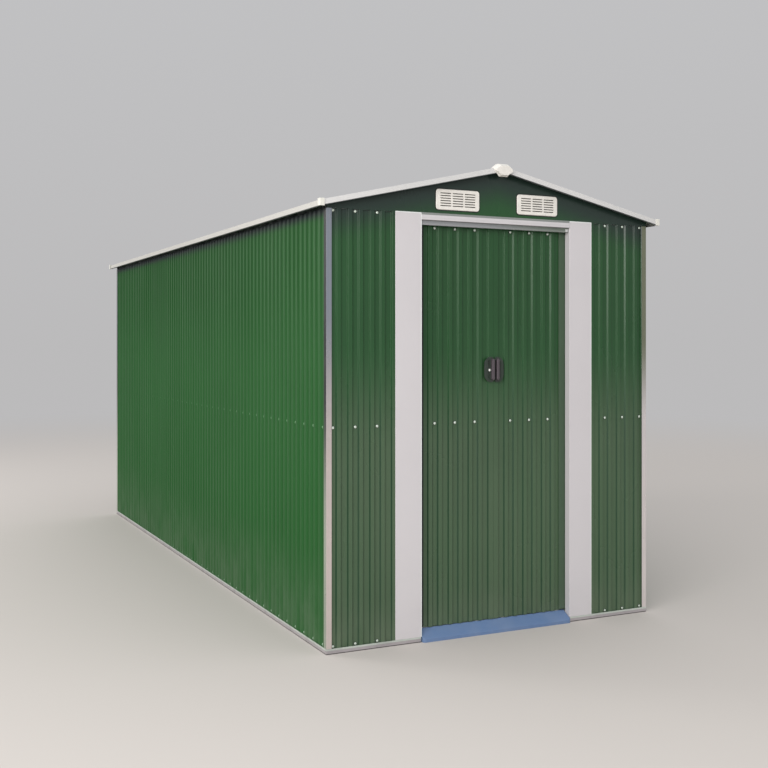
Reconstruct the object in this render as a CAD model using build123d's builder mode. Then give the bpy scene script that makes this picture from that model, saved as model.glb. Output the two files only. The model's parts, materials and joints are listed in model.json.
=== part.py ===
from build123d import *
from math import atan2, cos, degrees, radians, sin
import os

os.makedirs("parts", exist_ok=True)

# A sheet-metal garden shed with a shallow gable roof and two sliding door leaves.
# Millimetres. X across the front, Y from the front (-Y) to the back, Z up.
# The origin is on the ground under the centre of the shed.

# Base frame and walls
base_width = 1800.0
base_depth = 4300.0
wall_top = 1990.0
rail_thickness = 1.5
rail_lip = 25.0
rail_upright = 50.0
seat_gap = 0.3
moving_clearance = 5.0

# Ribbed sheet: narrow valleys that take the screws alternate with wide ones
sheet_thickness = 1.0
rib_depth = 8.0
rib_period = 110.0
narrow_valley = 22.0
wide_valley = 28.0
rib_flank = 4.0
seam_height = 1012.0
front_first_valley = 37.0

# Corner angles, middle rails, top rails and the beams over the front and back walls
corner_leg = 27.0
corner_thickness = 1.5
mid_rail_height = 30.0
mid_rail_depth = 20.0
beam_below_wall = 35.0
beam_height = 48.0
top_rail_drop = 45.0
top_rail_flange = 30.0

# Doorway
post_inner = 418.5
post_width = 135.5
post_above_wall = 5.0
post_return = 37.0
post_thickness = 1.5
header_height = 57.0
header_strip = 23.0
header_lip = 10.0
header_step = 2.0
header_setback = 9.0
header_foot = 25.0
sill_reach = 17.0
sill_lip = 16.0
sill_above_upright = 2.0
sill_thickness = 3.0
sill_end_gap = 2.5
sill_corner = 14.0
track_height = 40.0
track_width = 34.0
track_thickness = 1.5
track_slot = 13.0
track_above_beam = 7.0
track_end_gap = 8.0
floor_track_width = 21.0

# Door leaves
leaf_lap = 21.5
leaf_gap = 5.0
leaf_floor_gap = 8.0
leaf_track_gap = 12.0
leaf_first_valley = 101.0
stile_face = 54.0
leaf_frame_bar = 28.0
leaf_frame_depth = 15.0
leaf_frame_thickness = 1.5

# Door handles
handle_width = 48.0
handle_height = 122.0
handle_bottom = 1199.0
handle_edge = 3.5
handle_plate = 7.0
handle_reach = 27.0
grip_width = 15.0
grip_height = 104.0
handle_outer_radius = 36.0
handle_inner_radius = 5.0
pocket_width = 13.0
pocket_height = 84.0
pocket_depth = 4.0

# Hangers in the top track and guide shoes in the floor track
hanger_head = 24.0
hanger_head_height = 9.0
hanger_length = 44.0
hanger_stem = 8.0
hanger_from_edge = 70.0
shoe_length = 40.0
shoe_thickness = 6.0
shoe_drop = 30.0

# Roof
eave_overhang = 45.0
gable_overhang = 42.0
eave_above_wall = 2.0
roof_rise = 211.0
roof_trim_height = 27.0
roof_trim_thickness = 1.5
roof_trim_flange = 25.0
roof_trim_foot = 12.0
roof_rib_depth = 10.0
roof_rib_period = 146.0
roof_rib_top = 20.0
roof_rib_flank = 10.0
roof_edge_gap = 5.0
ridge_cap_leg = 70.0
gable_flange = 30.0
beam_leg = 40.0
ridge_beam_half = 25.0
purlin_half = 18.0
purlin_place = 470.0

# Roof end pieces
ridge_end_reach = 20.0
ridge_end_back = 26.0
ridge_end_rise = 11.0
ridge_end_half = 50.0
ridge_end_flat = 28.0
ridge_end_foot = 23.0
ridge_end_drop = 50.0
ridge_end_taper = 6.0
corner_cap_reach = 5.0
corner_cap_side = 6.0
corner_cap_length = 24.0
corner_cap_height = 33.0
corner_cap_wall = 2.0
corner_cap_radius = 4.0

# Vents
vent_width = 235.0
vent_height = 97.0
vent_place = 224.5
vent_above_wall = 22.0
vent_thickness = 6.0
vent_radius = 14.0
vent_rim = 13.0
vent_field_depth = 1.5
vent_edge_bevel = 2.5
slot_columns = 3
slot_rows = 6
slot_length = 59.0
slot_height = 4.2
slot_column_pitch = 66.0
slot_row_pitch = 11.8
vent_hole_margin = 12.0

# Values that follow from the sizes above
half_width = base_width / 2
half_depth = base_depth / 2
trim_front = half_depth + gable_overhang
trim_side = half_width + eave_overhang
sheet_setback = corner_thickness + seat_gap
wall_depth = sheet_setback + rib_depth + sheet_thickness + seat_gap
panel_bottom = rail_thickness + seat_gap
post_outer = post_inner + post_width
post_top = wall_top + post_above_wall
header_bottom = post_top - header_height
beam_bottom = wall_top - beam_below_wall
beam_top = beam_bottom + beam_height
track_bottom = beam_bottom + track_above_beam
track_top = track_bottom + track_height

# The leaves run behind the posts' returns, and the tracks are centred on their frames
leaf_outer = post_inner + leaf_lap
leaf_width = leaf_outer - leaf_gap / 2
leaf_bottom = rail_upright + leaf_floor_gap
leaf_top = track_bottom - leaf_track_gap
leaf_setback = post_return + moving_clearance
leaf_back = leaf_setback + rib_depth + sheet_thickness + seat_gap
leaf_sheet_outer = leaf_outer - stile_face - seat_gap
handle_outer = leaf_gap / 2 + handle_edge + handle_width
door_travel = post_inner - moving_clearance - handle_outer
track_middle = leaf_back + leaf_frame_depth / 2
track_front = track_middle - track_width / 2
track_back = track_middle + track_width / 2
floor_track_front = track_middle - floor_track_width / 2
beam_back = track_front - seat_gap
rail_width = floor_track_front - seat_gap
track_half = half_width - wall_depth - top_rail_flange - track_end_gap

# Roof pitch, and the height of the sheets inside the trims
eave_line = wall_top + eave_above_wall
ridge_line = eave_line + roof_rise
slope = roof_rise / trim_side
roof_angle = atan2(roof_rise, trim_side)
roof_crest = roof_rib_depth + sheet_thickness
roof_sheet_rise = roof_trim_height - (roof_trim_thickness + seat_gap + roof_crest) / cos(roof_angle)

# One period of each ribbed sheet: the width of each flat or flank and the depth at its end
crest = (rib_period - narrow_valley - wide_valley - 4 * rib_flank) / 2
wall_ribs = [
    (narrow_valley, rib_depth), (rib_flank, 0), (crest, 0), (rib_flank, rib_depth),
    (wide_valley, rib_depth), (rib_flank, 0), (crest, 0), (rib_flank, rib_depth),
]
roof_ribs = [
    (roof_rib_period - roof_rib_top - 2 * roof_rib_flank, roof_rib_depth), (roof_rib_flank, 0),
    (roof_rib_top, 0), (roof_rib_flank, roof_rib_depth),
]


def roof_under(x):
    """Height of the underside of the roof sheet at a distance x from the ridge."""
    return ridge_line - slope * abs(x) + roof_sheet_rise


def trim_line(x):
    """Height of the lower edge of the roof trims at a distance x from the ridge."""
    return ridge_line - slope * abs(x)


def folded(path, thickness):
    """Closed outline of a folded sheet: the path, and its copy set off to the left."""
    inner = []
    last = len(path) - 1
    for i, (x, y) in enumerate(path):
        ax, ay = path[max(i - 1, 0)]
        bx, by = path[min(i + 1, last)]
        before = atan2(y - ay, x - ax) if i > 0 else atan2(by - y, bx - x)
        after = atan2(by - y, bx - x) if i < last else before
        middle = (before + after) / 2
        if cos((after - before) / 2) < 0:
            middle += radians(180)
        reach = thickness / cos(middle - before)
        inner.append((x - reach * sin(middle), y + reach * cos(middle)))
    return path + inner[::-1]


def ribbed(start, end, middle, ribs):
    """Outline of a ribbed sheet from start to end, with the first flat of a period at middle."""
    corners = []
    place = middle - ribs[0][0] / 2
    while place > start:
        place -= sum(width for width, depth in ribs)
    depth = ribs[-1][1]
    while place < end:
        for width, next_depth in ribs:
            corners.append((place, depth))
            place += width
            depth = next_depth
    corners.append((place, depth))

    def depth_at(x):
        for (x0, y0), (x1, y1) in zip(corners, corners[1:]):
            if x0 <= x <= x1:
                return y0 + (y1 - y0) * (x - x0) / (x1 - x0)

    between = [(x, y) for x, y in corners if start + sheet_thickness < x < end - sheet_thickness]
    return folded([(start, depth_at(start))] + between + [(end, depth_at(end))], sheet_thickness)


def set_in(outline, setback):
    """The outline moved into the shed by a setback."""
    return [(x, y + setback) for x, y in outline]


# Section planes, with x pointing into the shed, y up and the normal along the wall
left_section = Plane((-half_width, half_depth, 0), x_dir=(1, 0, 0), z_dir=(0, -1, 0))
front_section = Plane((-half_width, -half_depth, 0), x_dir=(0, 1, 0), z_dir=(1, 0, 0))
back_section = Plane((half_width, half_depth, 0), x_dir=(0, -1, 0), z_dir=(-1, 0, 0))

# Plan planes, with x along the wall, y into the shed and the normal up
left_plan = Plane((-half_width, 0, 0), x_dir=(0, -1, 0), z_dir=(0, 0, 1))
front_plan = Plane((0, -half_depth, 0), x_dir=(1, 0, 0), z_dir=(0, 0, 1))
back_plan = Plane((0, half_depth, 0), x_dir=(-1, 0, 0), z_dir=(0, 0, 1))

# The front seen from outside, with x to the right, y up and z out of the shed
front_face = Plane((0, -half_depth, 0), x_dir=(1, 0, 0), z_dir=(0, -1, 0))

# Mitre planes at the base frame's corners
front_mitre = Plane((-half_width, -half_depth, 0), x_dir=(0, 0, 1), z_dir=(-1, 1, 0))
back_mitre = Plane((-half_width, half_depth, 0), x_dir=(0, 0, 1), z_dir=(1, 1, 0))
back_mitre_right = Plane((half_width, half_depth, 0), x_dir=(0, 0, 1), z_dir=(-1, 1, 0))

# Base frame: an outer lip, a channel for the sheets, an upright and a top flange
rail_path = [
    (0, rail_lip),
    (0, 0),
    (wall_depth + rail_thickness, 0),
    (wall_depth + rail_thickness, rail_upright - rail_thickness),
    (rail_width - rail_thickness, rail_upright - rail_thickness),
    (rail_width - rail_thickness, 0),
]
rail_outline = folded(rail_path, rail_thickness)

with BuildPart() as base_frame_left:
    with BuildSketch(left_section):
        with BuildLine():
            Polyline(*rail_outline, close=True)
        make_face()
    extrude(amount=base_depth)
    split(bisect_by=front_mitre, keep=Keep.TOP)
    split(bisect_by=back_mitre, keep=Keep.BOTTOM)

with BuildPart() as base_frame_right:
    mirror(base_frame_left.part, about=Plane.YZ)

with BuildPart() as base_frame_back:
    with BuildSketch(back_section):
        with BuildLine():
            Polyline(*rail_outline, close=True)
        make_face()
    extrude(amount=base_width)
    split(bisect_by=back_mitre, keep=Keep.TOP)
    split(bisect_by=back_mitre_right, keep=Keep.TOP)

with BuildPart() as base_frame_front:
    with BuildSketch(front_section):
        with BuildLine():
            Polyline(*rail_outline, close=True)
        make_face()
    extrude(amount=half_width - post_inner - post_thickness - seat_gap)
    split(bisect_by=front_mitre, keep=Keep.BOTTOM)
    mirror(about=Plane.YZ)

# Door sill: a ramp in front of the floor track, open below, with closed ends
sill_height = rail_upright + sill_above_upright
sill_half = post_inner - sill_end_gap
sill_hollow = [
    (rail_width - sill_thickness, 0),
    (rail_width - sill_thickness, sill_height - 2 * sill_thickness),
    (-sill_reach + sill_thickness, sill_lip - sill_thickness),
    (-sill_reach + sill_thickness, 0),
]

with BuildPart() as door_sill:
    with BuildSketch(front_section.offset(half_width - sill_half)):
        with BuildLine():
            Polyline((rail_width, 0), (rail_width, sill_height), (-sill_reach, sill_lip),
                     (-sill_reach, 0), close=True)
        make_face()
    extrude(amount=2 * sill_half)
    front_corners = door_sill.edges().filter_by(Axis.Z).group_by(Axis.Y)[0]
    fillet(front_corners, radius=sill_corner)
    with BuildSketch(front_section.offset(half_width - sill_half + sill_corner)):
        with BuildLine():
            Polyline(*sill_hollow, close=True)
        make_face()
    extrude(amount=2 * (sill_half - sill_corner), mode=Mode.SUBTRACT)

# Floor track: a channel that the guide shoes of the leaves run in
floor_track_path = [
    (floor_track_front, rail_upright),
    (floor_track_front, 0),
    (floor_track_front + floor_track_width, 0),
    (floor_track_front + floor_track_width, rail_upright),
]

with BuildPart() as floor_track:
    with BuildSketch(front_section.offset(half_width - track_half)):
        with BuildLine():
            Polyline(*folded(floor_track_path, track_thickness), close=True)
        make_face()
    extrude(amount=2 * track_half)

# Wall sheets
side_end = half_depth - wall_depth
side_outline = set_in(ribbed(-side_end, side_end, 0, wall_ribs), sheet_setback)
wall_height = wall_top - panel_bottom

with BuildPart() as wall_left:
    with BuildSketch(left_plan.offset(panel_bottom)):
        with BuildLine():
            Polyline(*side_outline, close=True)
        make_face()
    extrude(amount=wall_height)

with BuildPart() as wall_right:
    mirror(wall_left.part, about=Plane.YZ)

sheet_edge = half_width - sheet_setback
back_outline = set_in(ribbed(-sheet_edge, sheet_edge, 0, wall_ribs), sheet_setback)

with BuildPart() as wall_back:
    with BuildSketch(back_plan.offset(panel_bottom)):
        with BuildLine():
            Polyline(*back_outline, close=True)
        make_face()
    extrude(amount=wall_height)

front_valley = -half_width + front_first_valley
front_end = -post_outer - seat_gap
front_outline = set_in(ribbed(-sheet_edge, front_end, front_valley, wall_ribs), sheet_setback)

with BuildPart() as front_panel_left:
    with BuildSketch(front_plan.offset(panel_bottom)):
        with BuildLine():
            Polyline(*front_outline, close=True)
        make_face()
    extrude(amount=seam_height - seat_gap - panel_bottom)
    with BuildSketch(front_plan.offset(seam_height)):
        with BuildLine():
            Polyline(*front_outline, close=True)
        make_face()
    extrude(amount=wall_top - seam_height)

with BuildPart() as front_panel_right:
    mirror(front_panel_left.part, about=Plane.YZ)

# Corner angles stand on the lip of the base frame
corner_outline = folded([(0, corner_leg), (0, 0), (corner_leg, 0)], corner_thickness)
corner_bottom = rail_lip + seat_gap

with BuildPart() as corner_front_left:
    with BuildSketch(Plane((-half_width, -half_depth, corner_bottom))):
        with BuildLine():
            Polyline(*corner_outline, close=True)
        make_face()
    extrude(amount=wall_top - corner_bottom)

with BuildPart() as corner_front_right:
    mirror(corner_front_left.part, about=Plane.YZ)

with BuildPart() as corner_back_left:
    mirror(corner_front_left.part, about=Plane.XZ)

with BuildPart() as corner_back_right:
    mirror(corner_back_left.part, about=Plane.YZ)

# Beams behind the top of the front and back walls
beam_path = [
    (beam_back, beam_bottom),
    (wall_depth, beam_bottom),
    (wall_depth, beam_top),
    (beam_back, beam_top),
]
beam_outline = folded(beam_path[::-1], rail_thickness)
beam_half = half_width - wall_depth

with BuildPart() as front_beam:
    with BuildSketch(front_section.offset(wall_depth)):
        with BuildLine():
            Polyline(*beam_outline, close=True)
        make_face()
    extrude(amount=2 * beam_half)

with BuildPart() as back_beam:
    mirror(front_beam.part, about=Plane.XZ)

# Top rails of the side walls, with a flange that follows the roof
roof_seat = seat_gap + sheet_thickness + seat_gap
top_rail_path = [
    (wall_depth, wall_top - top_rail_drop),
    (wall_depth, roof_under(half_width - wall_depth) - seat_gap),
    (wall_depth + top_rail_flange, roof_under(half_width - wall_depth - top_rail_flange) - seat_gap),
]

with BuildPart() as top_rail_left:
    with BuildSketch(left_section.offset(beam_back + seat_gap)):
        with BuildLine():
            Polyline(*folded(top_rail_path[::-1], rail_thickness), close=True)
        make_face()
    extrude(amount=base_depth - 2 * (beam_back + seat_gap))

with BuildPart() as top_rail_right:
    mirror(top_rail_left.part, about=Plane.YZ)

# Middle rails, where the two tiers of sheet are screwed
mid_back = wall_depth + mid_rail_depth
mid_low = seam_height - mid_rail_height / 2
mid_high = seam_height + mid_rail_height / 2
mid_path = [(mid_back, mid_high), (wall_depth, mid_high), (wall_depth, mid_low), (mid_back, mid_low)]
mid_outline = folded(mid_path, rail_thickness)

with BuildPart() as mid_rail_left:
    with BuildSketch(left_section.offset(mid_back + seat_gap)):
        with BuildLine():
            Polyline(*mid_outline, close=True)
        make_face()
    extrude(amount=base_depth - 2 * (mid_back + seat_gap))

with BuildPart() as mid_rail_right:
    mirror(mid_rail_left.part, about=Plane.YZ)

with BuildPart() as mid_rail_back:
    with BuildSketch(back_section.offset(wall_depth)):
        with BuildLine():
            Polyline(*mid_outline, close=True)
        make_face()
    extrude(amount=2 * beam_half)

with BuildPart() as mid_rails_front:
    with BuildSketch(front_section.offset(wall_depth)):
        with BuildLine():
            Polyline(*mid_outline, close=True)
        make_face()
    extrude(amount=half_width - wall_depth - post_inner - post_thickness - seat_gap)
    mirror(about=Plane.YZ)

# Door posts: a wide front face with a deep inner return and a shallow outer one
post_path = [
    (-post_outer, wall_depth - seat_gap),
    (-post_outer, 0),
    (-post_inner, 0),
    (-post_inner, post_return),
]

with BuildPart() as door_post_left:
    with BuildSketch(front_plan.offset(corner_bottom)):
        with BuildLine():
            Polyline(*folded(post_path, post_thickness), close=True)
        make_face()
    extrude(amount=post_top - corner_bottom)
    notch_depth = wall_depth - seat_gap
    with BuildSketch(front_plan.offset(beam_bottom - seat_gap)):
        with Locations((-post_inner, notch_depth)):
            Rectangle(4 * post_thickness, post_return, align=(Align.CENTER, Align.MIN))
    extrude(amount=post_top - beam_bottom + seat_gap, mode=Mode.SUBTRACT)
    with BuildSketch(front_plan.offset(wall_top)):
        with Locations((-post_inner - post_width / 2, post_thickness)):
            Rectangle(2 * post_width, post_return, align=(Align.CENTER, Align.MIN))
    extrude(amount=post_top - wall_top, mode=Mode.SUBTRACT)

with BuildPart() as door_post_right:
    mirror(door_post_left.part, about=Plane.YZ)

# Door header between the posts
header_path = [
    (0, post_top),
    (0, post_top - header_lip),
    (-header_step, post_top - header_lip - header_step),
    (-header_step, header_bottom + header_strip),
    (header_setback, header_bottom + header_strip - header_setback / 2),
    (header_setback, header_bottom),
    (header_foot, header_bottom),
]
header_half = post_inner - seat_gap

with BuildPart() as door_header:
    with BuildSketch(front_section.offset(half_width - header_half)):
        with BuildLine():
            Polyline(*folded(header_path, rail_thickness), close=True)
        make_face()
    extrude(amount=2 * header_half)

# Top track: a channel with two lips that carry the hangers
track_path = [
    (track_middle - track_slot / 2, track_bottom),
    (track_front, track_bottom),
    (track_front, track_top),
    (track_back, track_top),
    (track_back, track_bottom),
    (track_middle + track_slot / 2, track_bottom),
]

with BuildPart() as top_track:
    with BuildSketch(front_section.offset(half_width - track_half)):
        with BuildLine():
            Polyline(*folded(track_path[::-1], track_thickness), close=True)
        make_face()
    extrude(amount=2 * track_half)

# Gables: flat sheets with flanges that carry the roof, pierced behind the vents
gable_bottom = wall_top + seat_gap
gable_edge = half_width - sheet_setback
gable_top = [
    (gable_edge, roof_under(gable_edge) - seat_gap),
    (0, roof_under(0) - seat_gap),
    (-gable_edge, roof_under(gable_edge) - seat_gap),
]
vent_middle = wall_top + vent_above_wall + vent_height / 2

with BuildPart() as gable_front:
    with BuildSketch(front_face.offset(-sheet_setback)):
        with BuildLine():
            Polyline((-gable_edge, gable_bottom), (gable_edge, gable_bottom), *gable_top, close=True)
        make_face()
        with Locations((-vent_place, vent_middle), (vent_place, vent_middle)):
            Rectangle(vent_width - 2 * vent_hole_margin, vent_height - 2 * vent_hole_margin,
                      mode=Mode.SUBTRACT)
    extrude(amount=-sheet_thickness)
    with BuildSketch(front_face.offset(-sheet_setback)):
        with BuildLine():
            Polyline(*folded(gable_top, sheet_thickness), close=True)
        make_face()
    extrude(amount=-gable_flange)

with BuildPart() as gable_back:
    mirror(gable_front.part, about=Plane.XZ)

# Vents: rounded plates with rows of slots
with BuildPart() as vents_front:
    with BuildSketch(front_face.offset(-sheet_setback + seat_gap)):
        with Locations((-vent_place, vent_middle), (vent_place, vent_middle)):
            RectangleRounded(vent_width, vent_height, vent_radius)
    extrude(amount=vent_thickness)
    chamfer(vents_front.faces().sort_by(Axis.Y)[:2].edges(), length=vent_edge_bevel)
    with BuildSketch(front_face.offset(vent_thickness)):
        with Locations((-vent_place, vent_middle), (vent_place, vent_middle)):
            Rectangle(vent_width - 2 * vent_rim, vent_height - 2 * vent_rim)
    extrude(amount=-vent_field_depth, mode=Mode.SUBTRACT)
    with BuildSketch(front_face.offset(vent_thickness)):
        with Locations((-vent_place, vent_middle), (vent_place, vent_middle)):
            with GridLocations(slot_column_pitch, slot_row_pitch, slot_columns, slot_rows):
                Rectangle(slot_length, slot_height)
    extrude(amount=-2 * vent_thickness, mode=Mode.SUBTRACT)

with BuildPart() as vents_back:
    mirror(vents_front.part, about=Plane.XZ)

# Roof sheets, with ribs that run down the slope
slope_down = (-cos(roof_angle), 0, -sin(roof_angle))
roof_start = roof_edge_gap
roof_top_reach = roof_crest * sin(roof_angle)
roof_length = (trim_side - roof_trim_thickness - seat_gap - roof_top_reach) / cos(roof_angle) - roof_start
roof_half = trim_front - roof_trim_thickness - seat_gap
roof_plane = Plane((0, 0, roof_under(0)), x_dir=(0, -1, 0), z_dir=slope_down).offset(roof_start)
roof_outline = [(x, roof_crest - y) for x, y in ribbed(-roof_half, roof_half, 0, roof_ribs)]

with BuildPart() as roof_left:
    with BuildSketch(roof_plane):
        with BuildLine():
            Polyline(*roof_outline, close=True)
        make_face()
    extrude(amount=roof_length)

with BuildPart() as roof_right:
    mirror(roof_left.part, about=Plane.YZ)

# Trims along the gables, wrapped round the edge of the roof sheets
rake_top = [
    (-trim_side, trim_line(trim_side) + roof_trim_height),
    (0, ridge_line + roof_trim_height),
    (trim_side, trim_line(trim_side) + roof_trim_height),
]
rake_low = [(x, z - roof_trim_height + roof_trim_thickness) for x, z in rake_top]

with BuildPart() as rake_trims_front:
    with BuildSketch(front_face.offset(gable_overhang)):
        with BuildLine():
            Polyline(*rake_top, *[(x, z - roof_trim_height) for x, z in rake_top[::-1]], close=True)
        make_face()
    extrude(amount=-roof_trim_thickness)
    with BuildSketch(front_face.offset(gable_overhang)):
        with BuildLine():
            Polyline(*rake_top, *[(x, z - roof_trim_thickness) for x, z in rake_top[::-1]], close=True)
        make_face()
    extrude(amount=-roof_trim_flange)
    with BuildSketch(front_face.offset(gable_overhang)):
        with BuildLine():
            Polyline(*rake_low, *[(x, z - roof_trim_thickness) for x, z in rake_low[::-1]], close=True)
        make_face()
    extrude(amount=-roof_trim_foot)

with BuildPart() as rake_trims_back:
    mirror(rake_trims_front.part, about=Plane.XZ)

# Trims along the eaves
eave_path = [
    (-trim_side + roof_trim_foot, eave_line),
    (-trim_side, eave_line),
    (-trim_side, eave_line + roof_trim_height),
    (-trim_side + roof_trim_flange, eave_line + roof_trim_height + slope * roof_trim_flange),
]
eave_half = trim_front - roof_trim_flange - seat_gap

with BuildPart() as eave_trims:
    with BuildSketch(Plane.XZ.offset(-eave_half)):
        with BuildLine():
            Polyline(*folded(eave_path[::-1], roof_trim_thickness), close=True)
        make_face()
    extrude(amount=2 * eave_half)
    mirror(about=Plane.YZ)

# Ridge cap on the crests of the roof sheets
ridge_cap_path = [
    (ridge_cap_leg, trim_line(ridge_cap_leg) + roof_trim_height),
    (0, ridge_line + roof_trim_height),
    (-ridge_cap_leg, trim_line(ridge_cap_leg) + roof_trim_height),
]

with BuildPart() as ridge_cap:
    with BuildSketch(Plane.XZ.offset(-eave_half)):
        with BuildLine():
            Polyline(*folded(ridge_cap_path, roof_trim_thickness), close=True)
        make_face()
    extrude(amount=2 * eave_half)


def beam_section(middle, half):
    """Outline of a channel under the roof, open below, with its top along the slope."""
    edges = [middle - half, middle + half]
    if abs(middle) < half:
        edges.insert(1, 0)
    top = [(x, roof_under(x) - roof_seat) for x in edges]
    foot = min(z for x, z in top) - beam_leg
    return folded([(edges[-1], foot)] + top[::-1] + [(edges[0], foot)], rail_thickness)


# Ridge beam and purlins, held under the flanges of the gables
roof_beam_half = half_depth - sheet_setback - sheet_thickness - seat_gap

with BuildPart() as ridge_beam:
    with BuildSketch(Plane.XZ.offset(-roof_beam_half)):
        with BuildLine():
            Polyline(*beam_section(0, ridge_beam_half), close=True)
        make_face()
    extrude(amount=2 * roof_beam_half)

with BuildPart() as purlins:
    with BuildSketch(Plane.XZ.offset(-roof_beam_half)):
        with BuildLine():
            Polyline(*beam_section(purlin_place, purlin_half), close=True)
        make_face()
    extrude(amount=2 * roof_beam_half)
    mirror(about=Plane.YZ)

# Moulded caps at the two ends of the ridge: a saddle over the trims and a tapered nose
ridge_top = ridge_line + roof_trim_height


def nose_outline(inset, top):
    """Outline of the ridge cap's nose, smaller by an inset, with its top at a height."""
    half = ridge_end_half - inset
    flat = ridge_end_flat - inset
    foot = ridge_end_foot - inset
    shoulder = top - slope * half - ridge_end_taper
    low = ridge_top - ridge_end_drop + inset
    return [
        (-flat, top), (flat, top), (half, shoulder), (half, shoulder - ridge_end_rise),
        (foot, low), (-foot, low), (-half, shoulder - ridge_end_rise), (-half, shoulder),
    ]


saddle_edge = trim_line(ridge_end_half) + roof_trim_height + seat_gap

with BuildPart() as ridge_end_caps:
    with BuildSketch(front_face.offset(gable_overhang + seat_gap)):
        with BuildLine():
            Polyline(*nose_outline(0, ridge_top + ridge_end_rise), close=True)
        make_face()
    with BuildSketch(front_face.offset(gable_overhang + ridge_end_reach)):
        with BuildLine():
            Polyline(*nose_outline(ridge_end_taper, ridge_top), close=True)
        make_face()
    loft()
    with BuildSketch(front_face.offset(gable_overhang + seat_gap)):
        with BuildLine():
            Polyline(
                (-ridge_end_half, saddle_edge),
                (0, ridge_top + seat_gap),
                (ridge_end_half, saddle_edge),
                (ridge_end_half, saddle_edge + ridge_end_rise / 3),
                (ridge_end_flat, ridge_top + ridge_end_rise),
                (-ridge_end_flat, ridge_top + ridge_end_rise),
                (-ridge_end_half, saddle_edge + ridge_end_rise / 3),
                close=True,
            )
        make_face()
    extrude(amount=-ridge_end_back)
    mirror(about=Plane.XZ)

# Moulded caps over the four corners of the roof
cap_outer = trim_side + corner_cap_side
cap_front = trim_front + corner_cap_reach
cap_inner_top = trim_line(cap_outer - corner_cap_length) + roof_trim_height + seat_gap
cap_top = cap_inner_top + corner_cap_wall

with BuildPart() as roof_corner_caps:
    with BuildSketch(Plane.XY.offset(cap_top - corner_cap_height)):
        with Locations((-cap_outer, -cap_front)):
            Rectangle(corner_cap_length, corner_cap_length, align=Align.MIN)
    extrude(amount=corner_cap_height)
    corner_edge = roof_corner_caps.edges().filter_by(Axis.Z).group_by(Axis.X)[0].sort_by(Axis.Y)[0]
    fillet(corner_edge, radius=corner_cap_radius)
    with BuildSketch(Plane.XY.offset(cap_top - corner_cap_height)):
        with Locations((-trim_side - seat_gap, -trim_front - seat_gap)):
            Rectangle(2 * corner_cap_length, 2 * corner_cap_length, align=Align.MIN)
    extrude(amount=corner_cap_height - corner_cap_wall, mode=Mode.SUBTRACT)
    mirror(about=Plane.YZ)
    mirror(about=Plane.XZ)

# Door leaves: two tiers of ribbed sheet beside a flat outer stile
leaf_plan = Plane((0, -half_depth + leaf_setback, 0))
leaf_outline = ribbed(-leaf_sheet_outer, -leaf_gap / 2, -leaf_first_valley, wall_ribs)

with BuildPart() as door_left_sheet:
    with BuildSketch(leaf_plan.offset(leaf_bottom)):
        with BuildLine():
            Polyline(*leaf_outline, close=True)
        make_face()
    extrude(amount=seam_height - seat_gap - leaf_bottom)
    with BuildSketch(leaf_plan.offset(seam_height)):
        with BuildLine():
            Polyline(*leaf_outline, close=True)
        make_face()
    extrude(amount=leaf_top - seam_height)

# Leaf frame: pressed bars with their open side to the inside of the shed
leaf_height = leaf_top - leaf_bottom
frame_width = leaf_width - stile_face
frame_middle = -leaf_gap / 2 - frame_width / 2
frame_plane = Plane((0, -half_depth + leaf_back, 0), x_dir=(1, 0, 0), z_dir=(0, -1, 0))
bar_rows = (leaf_bottom + leaf_frame_bar / 2, seam_height, leaf_top - leaf_frame_bar / 2)
stile_depth = leaf_back + leaf_frame_depth - leaf_setback

with BuildPart() as door_left_frame:
    with BuildSketch(frame_plane):
        with Locations((-leaf_gap / 2 - leaf_frame_bar / 2, leaf_bottom + leaf_height / 2)):
            Rectangle(leaf_frame_bar, leaf_height)
        with Locations(*[(frame_middle, z) for z in bar_rows]):
            Rectangle(frame_width, leaf_frame_bar)
    extrude(amount=-leaf_frame_depth)
    with BuildSketch(frame_plane.offset(leaf_back - leaf_setback)):
        with Locations((-leaf_outer + stile_face / 2, leaf_bottom + leaf_height / 2)):
            Rectangle(stile_face, leaf_height)
    extrude(amount=-stile_depth)
    with BuildSketch(frame_plane.offset(-leaf_frame_thickness)):
        with Locations((-leaf_gap / 2 - leaf_frame_bar / 2, leaf_bottom + leaf_height / 2)):
            Rectangle(leaf_frame_bar - 2 * leaf_frame_thickness, leaf_height - 2 * leaf_frame_thickness)
        with Locations(*[(frame_middle, z) for z in bar_rows]):
            Rectangle(frame_width + leaf_frame_bar, leaf_frame_bar - 2 * leaf_frame_thickness)
    extrude(amount=-leaf_frame_depth, mode=Mode.SUBTRACT)
    with BuildSketch(frame_plane.offset(leaf_back - leaf_setback - leaf_frame_thickness)):
        with Locations((-leaf_outer + stile_face / 2, leaf_bottom + leaf_height / 2)):
            Rectangle(stile_face - 2 * leaf_frame_thickness, leaf_height - 2 * leaf_frame_thickness)
    extrude(amount=-stile_depth, mode=Mode.SUBTRACT)

# Door handle: a rounded plate with a finger pocket and an upright grip by the seam
handle_plane = Plane((0, -half_depth + leaf_setback - seat_gap, 0), x_dir=(1, 0, 0), z_dir=(0, -1, 0))
handle_middle = handle_bottom + handle_height / 2
handle_near = -leaf_gap / 2 - handle_edge
grip_middle = handle_near - grip_width / 2
pocket_middle = handle_near - grip_width - pocket_width / 2

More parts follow.
